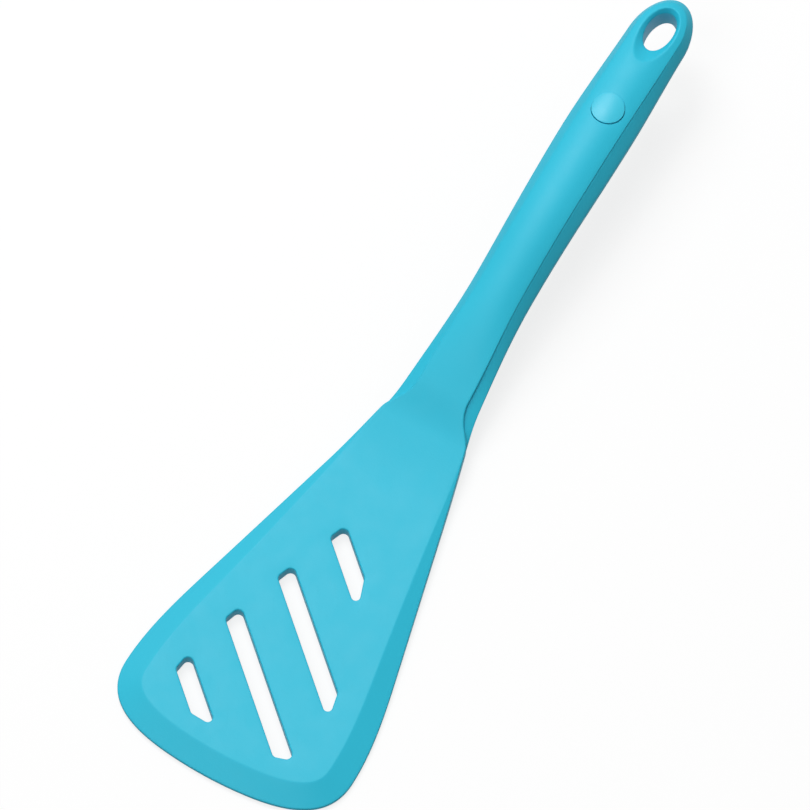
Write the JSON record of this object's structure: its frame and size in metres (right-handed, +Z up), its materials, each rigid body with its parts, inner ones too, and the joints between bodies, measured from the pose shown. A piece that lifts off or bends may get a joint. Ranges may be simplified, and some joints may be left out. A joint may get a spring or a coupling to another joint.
{
  "type": "slotted kitchen turner",
  "caption": "Slotted silicone kitchen turner: a wide flat blade with slanted slots and bevelled rim, a cranked neck, and a rounded grip with a hanging hole and a plain disc.",
  "frame": {"origin": "on the blade's flat underside, on its centre line, 50 mm behind the middle of the front edge, between the second and third slots", "axes": "+Y from the blade's front edge to the handle's end, +Z up out of the blade's top face, +X across the blade to the right when seen from above with the handle away"},
  "size_m": [0.0872, 0.3118, 0.0372],
  "materials": {
    "silicone_face": "satin moulded silicone",
    "silicone_back": "satin moulded silicone",
    "disc": "semi-gloss",
    "insert_steel": "plain stainless sheet",
    "core_nylon": "moulded nylon",
    "rivet_steel": "plain stainless"
  },
  "bodies": {
    "root": {"blade_and_handle_face": "silicone_face", "handle_back": "silicone_back", "badge_disc": "disc", "blade_insert": "insert_steel", "handle_core": "core_nylon", "tang_rivet_front": "rivet_steel", "tang_rivet_rear": "rivet_steel"}
  },
  "joints": []
}
